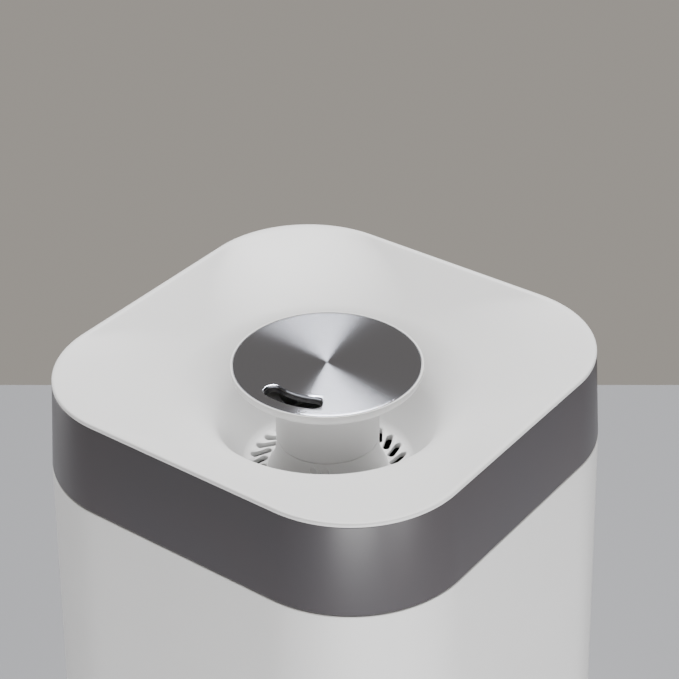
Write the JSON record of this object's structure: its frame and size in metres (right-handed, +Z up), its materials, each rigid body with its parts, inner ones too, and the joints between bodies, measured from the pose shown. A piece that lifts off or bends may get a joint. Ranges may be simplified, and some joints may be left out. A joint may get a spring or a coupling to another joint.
{
  "type": "cool mist humidifier",
  "caption": "Square top-fill ultrasonic humidifier with lift-out tank and bowl tray, turning mist nozzle, blower, float and front dial.",
  "frame": {"origin": "middle of the plane that the feet stand on", "axes": "+Z up along the mist column, -Y towards the front with the dial"},
  "size_m": [0.226, 0.226, 0.3],
  "materials": {
    "white_plastic": "satin",
    "smoke_plastic": "gloss",
    "grey_plastic": "satin",
    "dark_plastic": "matte",
    "spun_metal": "brushed",
    "steel": "satin",
    "heat_sink": "satin",
    "silicone": "matte",
    "circuit_board": "gloss",
    "filter_foam": "matte",
    "ceramic": "satin"
  },
  "bodies": {
    "base": {"outer_housing": "white_plastic", "bottom_cover": "white_plastic", "rubber_feet": "silicone", "cover_screws": "steel", "basin": "white_plastic", "transducer_seal": "silicone", "transducer_disc": "ceramic", "transducer_clamp": "grey_plastic", "transducer_screws": "steel", "float_clip": "grey_plastic", "level_sensor": "dark_plastic", "blower_housing": "dark_plastic", "blower_cover": "dark_plastic", "blower_screws": "steel", "blower_motor": "steel", "air_duct": "grey_plastic", "air_filter": "filter_foam", "driver_board": "circuit_board", "board_screws": "steel", "heat_sink": "heat_sink", "dial_cup": "white_plastic", "dial_sensor": "dark_plastic", "control_board": "circuit_board", "indicator_lens": "grey_plastic", "power_inlet": "dark_plastic"},
    "float": {"level_float": "white_plastic", "float_magnet": "dark_plastic"},
    "rotor": {"impeller": "dark_plastic", "impeller_shaft": "steel"},
    "dial": {"dial_knob": "spun_metal", "dial_shaft": "steel"},
    "tank": {"water_tank": "smoke_plastic", "valve_cap": "white_plastic", "valve_gasket": "silicone", "valve_spring": "steel"},
    "plunger": {"valve_plunger": "white_plastic", "valve_seal": "silicone"},
    "tray": {"top_tray": "white_plastic", "tray_seal": "silicone", "chimney_seal": "silicone"},
    "nozzle_base": {"nozzle_collar": "white_plastic", "head_ring": "silicone"},
    "nozzle": {"nozzle_head": "white_plastic", "nozzle_disc": "spun_metal"}
  },
  "joints": [
    {"name": "tank_lift", "type": "slide", "parent": "base", "child": "tank", "axis": [0, 0, 1], "range_m": [0, 0.17]},
    {"name": "tray_lift", "type": "slide", "parent": "tank", "child": "tray", "axis": [0, 0, 1], "range_m": [0, 0.08]},
    {"name": "nozzle_lift", "type": "slide", "parent": "tray", "child": "nozzle_base", "axis": [0, 0, 1], "range_m": [0, 0.05]},
    {"name": "nozzle_turn", "type": "hinge", "parent": "nozzle_base", "child": "nozzle", "pos_m": [0, 0, 0.258], "axis": [0, 0, 1], "continuous": true},
    {"name": "valve_push", "type": "slide", "parent": "tank", "child": "plunger", "axis": [0, 0, 1], "range_m": [0, 0.004], "stiffness_N_per_m": 150, "springref_m": -0.004, "deforming": ["valve_spring"]},
    {"name": "float_rise", "type": "slide", "parent": "base", "child": "float", "axis": [0, 0, 1], "range_m": [0, 0.006]},
    {"name": "blower_spin", "type": "hinge", "parent": "base", "child": "rotor", "pos_m": [-0.0415, 0.042, 0.025], "axis": [0, 0, 1], "continuous": true},
    {"name": "dial_turn", "type": "hinge", "parent": "base", "child": "dial", "pos_m": [0, -0.1, 0.045], "axis": [0, -1, 0], "range_deg": [-280, 0]}
  ]
}
